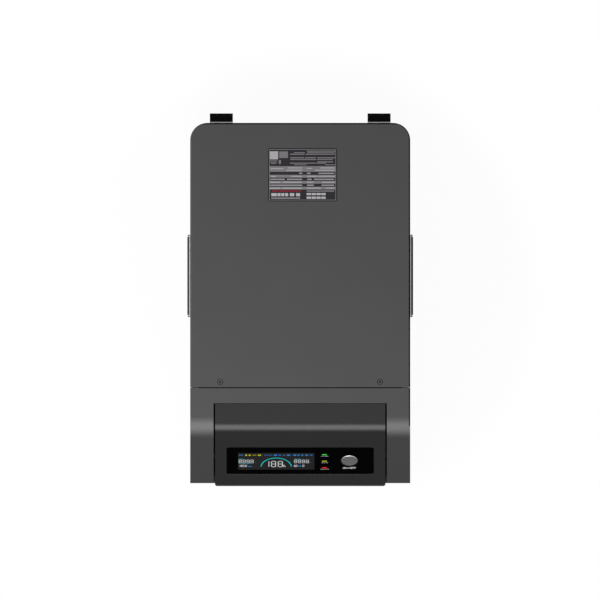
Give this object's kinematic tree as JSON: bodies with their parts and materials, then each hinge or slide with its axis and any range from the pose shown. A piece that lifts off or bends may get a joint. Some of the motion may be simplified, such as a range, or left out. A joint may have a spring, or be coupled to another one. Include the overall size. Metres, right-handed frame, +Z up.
{
  "type": "portable battery power station",
  "caption": "Floor-standing battery power station with a sloped display face, folding side handles, lidded sockets, a rear connection recess, fans and rubber rear buffers.",
  "frame": {"origin": "on the floor, under the middle of the whole box from the front lip to the rear buffers", "axes": "+Z up, the front faces -Y, +X to the right seen from the front"},
  "size_m": [0.3284, 0.5422, 0.4104],
  "materials": {
    "housing_steel": "fine-textured powder coat on sheet steel",
    "front_moulding": "painted grey moulded ABS",
    "fascia_plastic": "dark textured moulded ABS",
    "window_gloss": "polished black acrylic",
    "display_glass": "display behind clear glass",
    "plate_film": "printed plate",
    "light_green": "clear tinted lens",
    "light_yellow": "clear tinted lens",
    "light_red": "clear tinted lens",
    "button_plastic": "satin moulded cap",
    "black_plastic": "moulded",
    "lid_plastic": "moulded",
    "zinc_steel": "bright zinc plate",
    "dark_steel": "black powder coat",
    "black_rubber": "moulded rubber",
    "inlet_plastic": "moulded yellow nylon",
    "rocker_plastic": "moulded red",
    "circuit_board": "glass-fibre board",
    "copper": "copper",
    "aluminium": "mill finish",
    "cell_film": "blue film",
    "capacitor_film": "sleeve",
    "lead_red": "insulated copper lead",
    "lead_black": "insulated copper lead",
    "fuse_ceramic": "ceramic fuse body"
  },
  "bodies": {
    "housing": {"base_tray": "housing_steel", "top_cover": "housing_steel", "front_bezel": "front_moulding", "cover_screws": "zinc_steel", "rating_plate": "plate_film", "fascia": "fascia_plastic", "display_window": "window_gloss", "lcd_module": "display_glass", "run_light": "light_green", "charge_light": "light_yellow", "fault_light": "light_red", "button_ring": "black_plastic", "button_switch": "black_plastic", "control_board": "circuit_board", "socket_panel": "black_plastic", "ac_outlets": "black_plastic", "socket_contacts": "copper", "lid_pins": "zinc_steel", "usb_ports": "zinc_steel", "car_socket": "black_plastic", "handle_pan_left": "zinc_steel", "handle_pan_right": "zinc_steel", "handle_pins": "dark_steel", "rear_buffers": "black_rubber", "buffer_plates": "zinc_steel", "feet": "black_rubber", "housing_screws": "zinc_steel", "io_panel": "housing_steel", "ac_inlet": "black_plastic", "inlet_pins": "zinc_steel", "pv_inputs": "inlet_plastic", "main_switch": "black_plastic", "fan_frames": "black_plastic", "battery_cells": "cell_film", "cell_terminals": "zinc_steel", "busbars": "copper", "end_plates": "aluminium", "tie_rods": "zinc_steel", "bms_board": "circuit_board", "divider_deck": "aluminium", "inverter_board": "circuit_board", "heat_sinks": "aluminium", "transformer": "copper", "capacitors": "capacitor_film", "positive_lead": "lead_red", "negative_lead": "lead_black", "main_fuse": "fuse_ceramic"},
    "power_button": {"power_button": "button_plastic"},
    "handle_left": {"handle_bail_left": "dark_steel", "handle_grip_left": "black_rubber"},
    "handle_right": {"handle_bail_right": "dark_steel", "handle_grip_right": "black_rubber"},
    "lid_1": {"outlet_lid_1": "lid_plastic"},
    "lid_2": {"outlet_lid_2": "lid_plastic"},
    "lid_3": {"outlet_lid_3": "lid_plastic"},
    "lid_4": {"outlet_lid_4": "lid_plastic"},
    "fan_left": {"fan_rotor_left": "black_plastic"},
    "fan_right": {"fan_rotor_right": "black_plastic"},
    "rocker": {"main_rocker": "rocker_plastic"}
  },
  "joints": [
    {"name": "power_button_press", "type": "slide", "parent": "housing", "child": "power_button", "axis": [0, 0.7986, -0.6018], "range_m": [0, 0.002], "stiffness_N_per_m": 700, "springref_m": -0.001},
    {"name": "left_handle_lift", "type": "hinge", "parent": "housing", "child": "handle_left", "pos_m": [-0.1617, 0.0348, 0.35], "axis": [0, 1, 0], "range_deg": [0, 90]},
    {"name": "right_handle_lift", "type": "hinge", "parent": "housing", "child": "handle_right", "pos_m": [0.1617, 0.0348, 0.35], "axis": [0, -1, 0], "range_deg": [0, 90]},
    {"name": "lid_1_open", "type": "hinge", "parent": "housing", "child": "lid_1", "pos_m": [0.022, -0.2626, 0.2547], "axis": [-1, 0, 0], "range_deg": [0, 105]},
    {"name": "lid_2_open", "type": "hinge", "parent": "housing", "child": "lid_2", "pos_m": [0.086, -0.2626, 0.2547], "axis": [-1, 0, 0], "range_deg": [0, 105]},
    {"name": "lid_3_open", "type": "hinge", "parent": "housing", "child": "lid_3", "pos_m": [0.022, -0.2626, 0.1827], "axis": [-1, 0, 0], "range_deg": [0, 105]},
    {"name": "lid_4_open", "type": "hinge", "parent": "housing", "child": "lid_4", "pos_m": [0.086, -0.2626, 0.1827], "axis": [-1, 0, 0], "range_deg": [0, 105]},
    {"name": "left_fan_spin", "type": "hinge", "parent": "housing", "child": "fan_left", "pos_m": [-0.046, 0.243, 0.276], "axis": [0, 1, 0], "continuous": true},
    {"name": "right_fan_spin", "type": "hinge", "parent": "housing", "child": "fan_right", "pos_m": [0.046, 0.243, 0.276], "axis": [0, 1, 0], "continuous": true},
    {"name": "main_rocker_tilt", "type": "hinge", "parent": "housing", "child": "rocker", "pos_m": [0.002, 0.2353, 0.142], "axis": [-1, 0, 0], "range_deg": [0, 20]}
  ]
}
